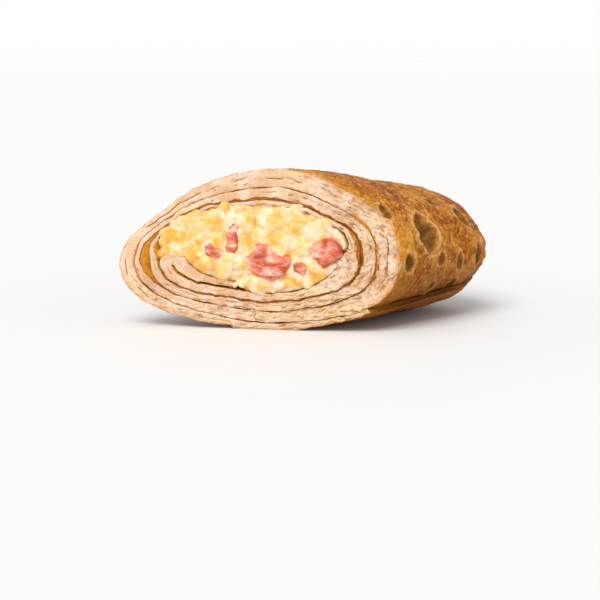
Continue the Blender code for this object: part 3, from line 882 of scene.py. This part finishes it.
def node_copy(node, name):
    """A new object with a copy of a CAD node's mesh, in the world's place."""
    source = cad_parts[node]
    mesh = source.data.copy()
    mesh.name = name
    mesh.transform(source.matrix_world)
    mesh.materials.clear()
    work = bmesh.new()
    work.from_mesh(mesh)
    bmesh.ops.remove_doubles(work, verts=work.verts, dist=0.001 * MM)
    work.to_mesh(mesh)
    work.free()
    return add(name, mesh)


def settle(piece):
    """Applies the object's modifiers."""
    graph = bpy.context.evaluated_depsgraph_get()
    mesh = bpy.data.meshes.new_from_object(piece.evaluated_get(graph))
    piece.modifiers.clear()
    piece.data = mesh
    mesh.name = piece.name
    mesh.shade_smooth()


def vertices(mesh):
    flat = np.empty(len(mesh.vertices) * 3)
    mesh.vertices.foreach_get("co", flat)
    return flat.reshape(-1, 3)


def normals(mesh):
    flat = np.empty(len(mesh.vertices) * 3)
    mesh.vertices.foreach_get("normal", flat)
    return flat.reshape(-1, 3)


def move_vertices(mesh, points):
    mesh.vertices.foreach_set("co", points.reshape(-1))
    mesh.update()


def keep_value(mesh, key, values):
    mesh.attributes.new(key, "FLOAT", "POINT").data.foreach_set("value", values.astype(np.float32))


def on_face(along_face, up, out):
    """A place on the cut face, in metres, standing out of it so many millimetres."""
    across = along_face * math.cos(CUT_SLANT)
    point = Vector((across, cut_y(across), up)) + Vector(SHIFT)
    return (point + FACE_NORMAL * out) * MM


def blob(work, centre, size, squash, turn, seed):
    """One rounded lump of egg added to a mesh."""
    made = bmesh.ops.create_icosphere(work, subdivisions=2, radius=size)
    matrix = Matrix.Translation(centre) @ Matrix.Rotation(CUT_SLANT, 4, "Z")
    matrix = matrix @ Matrix.Rotation(turn, 4, "Y") @ Matrix.Diagonal((1.0, squash, 0.85, 1.0))
    shift = Vector((seed * 1.7, seed * 0.9, 3.0))
    for vert in made["verts"]:
        vert.co *= 1.0 + 0.30 * noise.noise(vert.co / size * 1.1 + shift)
        vert.co = matrix @ vert.co


def soften(piece, voxel, relaxing):
    """Rebuilds the mesh from voxels of a size in millimetres, and relaxes it so many times."""
    step = piece.modifiers.new("fuse", "REMESH")
    step.mode = "VOXEL"
    step.voxel_size = voxel * MM
    settle(piece)
    step = piece.modifiers.new("relax", "SMOOTH")
    step.iterations = relaxing
    step.factor = 0.5
    settle(piece)


def build_filling():
    piece = node_copy("filling", "egg_filling")
    rng = random.Random(EGG_SEED)
    walls = normals(piece.data) * (1.0, 0.0, 1.0)
    move_vertices(piece.data, vertices(piece.data) + walls * FILLING_SWELL * MM)
    work = bmesh.new()
    work.from_mesh(piece.data)
    strew_curds(work, rng)
    smear_egg(work, rng)
    work.to_mesh(piece.data)
    work.free()
    soften(piece, EGG_VOXEL, EGG_RELAXING)
    mesh = piece.data
    points, outward_at = vertices(mesh), normals(mesh)
    mm = points / MM
    relief = noises(mm, 0.9, 3.0) * 0.16 + noises(mm, 2.2, 13.0) * 0.07
    move_vertices(mesh, points + outward_at * relief[:, None] * MM)
    level = ((mm - np.array(SHIFT)) * np.array(FACE_NORMAL)).sum(axis=1)
    keep_value(mesh, "rise", level)
    keep_value(mesh, "yolk", smooth((-4.0 - mm[:, 0]) / 9.0) - 0.8 * smooth((15.0 - mm[:, 2]) / 8.0))
    mesh.materials.append(egg_material())
    stand_for(piece, "filling")


def strew_curds(work, rng):
    """Curds over the filling's area at the cut, but not where ham lies open."""
    for number in range(CURD_COUNT):
        angle = rng.uniform(0.0, 2 * math.pi)
        spread = math.sqrt(rng.random())
        along_face = FILLING_OFFSET + FILLING_HALF[0] * spread * math.cos(angle)
        up = FILLING_MIDDLE + FILLING_HALF[1] * spread * math.sin(angle)
        size = rng.uniform(0.7, 1.9) if number % 4 else rng.uniform(1.6, 2.7)
        seed = rng.uniform(0.0, 50.0)
        turn = rng.uniform(0.0, math.pi)
        out = rng.uniform(-0.9, 0.35) - size * 0.42
        if not in_filling(along_face, up, size) or over_ham(along_face, up, size):
            continue
        blob(work, on_face(along_face, up, out), size * MM, rng.uniform(0.55, 0.9), turn, seed)


def smear_egg(work, rng):
    """Egg over the sheet's thin stretch, and lumps along its edge and along the folded tail."""
    for _ in range(SMEAR_COUNT):
        along_face = rng.uniform(*SMEAR_REACH)
        size = rng.uniform(0.7, 1.6)
        top = smear_top(along_face) - size * 0.75
        low = tail_top(along_face) + size * 0.7
        up = rng.uniform(min(low, top), top)
        if over_ham(along_face, up, size):
            continue
        turn = rng.uniform(0.0, math.pi)
        sunk = 1.3 * (1.0 - step_up(up, 15.0, 2.5)) * (1.0 - smooth((along_face + 19.8) / 1.0))
        out = 0.15 - size * 0.55 - sunk
        blob(work, on_face(along_face, up, out), size * MM, 0.7, turn, rng.uniform(0.0, 50.0))
    for number in range(EDGE_LUMPS):
        along_face = lerp(*EDGE_REACH, number / (EDGE_LUMPS - 1))
        size = rng.uniform(1.1, 1.6)
        up = smear_top(along_face) - size * rng.uniform(0.80, 1.05)
        blob(work, on_face(along_face, up, -0.9 - 0.2 * size), size * MM, 0.7, 0.0, up)
    for along_face, up, size, out in FOLD_LUMPS:
        blob(work, on_face(along_face, up, out), size * MM, 0.7, 0.0, up)


def in_filling(along_face, up, size):
    """Whether a lump stays clear of the sheet and of the folded tail at the lower left."""
    across = (along_face - FILLING_OFFSET) / (FILLING_HALF[0] + 1.0 - size * 0.5)
    upward = (up - FILLING_MIDDLE) / (FILLING_HALF[1] + 1.0 - size * 0.5)
    return math.hypot(across, upward) < 1.0 and up - size * 0.7 > tail_top(along_face)


def tail_top(along_face):
    """Height of the folded tail's upper side along the cut face."""
    return float(np.interp(along_face, *TAIL_TOP))


def smear_top(along_face):
    """Height along the cut face up to which egg is smeared over the sheet's thin stretch."""
    return float(np.interp(along_face, *SMEAR_TOP))


def over_ham(along_face, up, size):
    """Whether a lump would hide ham that lies open."""
    for u, v, reach in HAM_KEEP:
        if math.hypot(along_face - u, up - v) < reach + size * 0.15:
            return True
    return False


def build_ham(number):
    piece = node_copy("ham_%d" % number, "ham_piece_%d" % number)
    soften(piece, HAM_VOXEL, HAM_RELAXING)
    mesh = piece.data
    points, outward_at = vertices(mesh), normals(mesh)
    mm = points / MM
    shift = number * 7.0
    relief = noises(mm, 0.35, shift) * 0.40 + noises(mm, (0.6, 0.6, 2.0), shift + 3.0) * 0.22
    relief += noises(mm, 2.6, shift + 5.0) * 0.07 + 0.12
    move_vertices(mesh, points + outward_at * relief[:, None] * MM)
    mesh.materials.append(ham_material(number))
    stand_for(piece, "ham_%d" % number)


def egg_material():
    """Creamy curds with yellow patches, painted shade where the egg lies sunk below the cut face, and a
    moist gloss.
    """
    s = Shader("egg_filling")
    patch = s.noise(330.0, 3.0, 0.5, None, 0.6)
    small = s.noise(1300.0, 4.0, 0.6)
    tint = s.math("ADD", s.math("MULTIPLY", patch, 0.8), s.math("MULTIPLY", small, 0.2))
    tint = s.math("ADD", tint, s.math("MULTIPLY", s.attribute("yolk"), 0.06))
    colour = s.ramp(tint, (
        (0.40, (0.93, 0.75, 0.52)),
        (0.48, (0.93, 0.68, 0.38)),
        (0.55, (0.92, 0.59, 0.20)),
        (0.64, (0.88, 0.47, 0.07)),
    ))
    # Painted shade: the egg is painted darker orange the deeper it lies below the cut face, in the hollows
    # between curds.
    low = s.span(s.attribute("rise"), -1.9, -0.4, 0.75, 0.0)
    colour = s.mix(low, colour, (0.80, 0.42, 0.08))
    return s.finish(colour, s.span(small, 0.3, 0.7, 0.22, 0.42), small, 0.10, 0.25, (1.0, 0.65, 0.25), 1.4)


def ham_material(number):
    """Cooked ham: pink meat with paler fat and darker grain."""
    s = Shader("ham_%d" % number)
    meat = s.noise(300.0, 3.0, 0.5, (1.0, 1.0, 1.7), 0.4)
    fine = s.noise(1600.0, 4.0, 0.65, (1.0, 1.0, 2.0))
    colour = s.ramp(s.math("ADD", s.math("MULTIPLY", meat, 0.75), s.math("MULTIPLY", fine, 0.25)), (
        (0.38, (0.52, 0.075, 0.030)),
        (0.46, (0.70, 0.17, 0.090)),
        (0.53, (0.80, 0.30, 0.20)),
        (0.62, (0.92, 0.58, 0.42)),
    ))
    return s.finish(colour, s.span(fine, 0.3, 0.7, 0.22, 0.45), fine, 0.12, 0.2, (1.0, 0.35, 0.2), 1.0)


build_camera()
build_floor()
build_light()
build_crepe()
build_filling()
for number in range(1, HAM_PIECES + 1):
    build_ham(number)
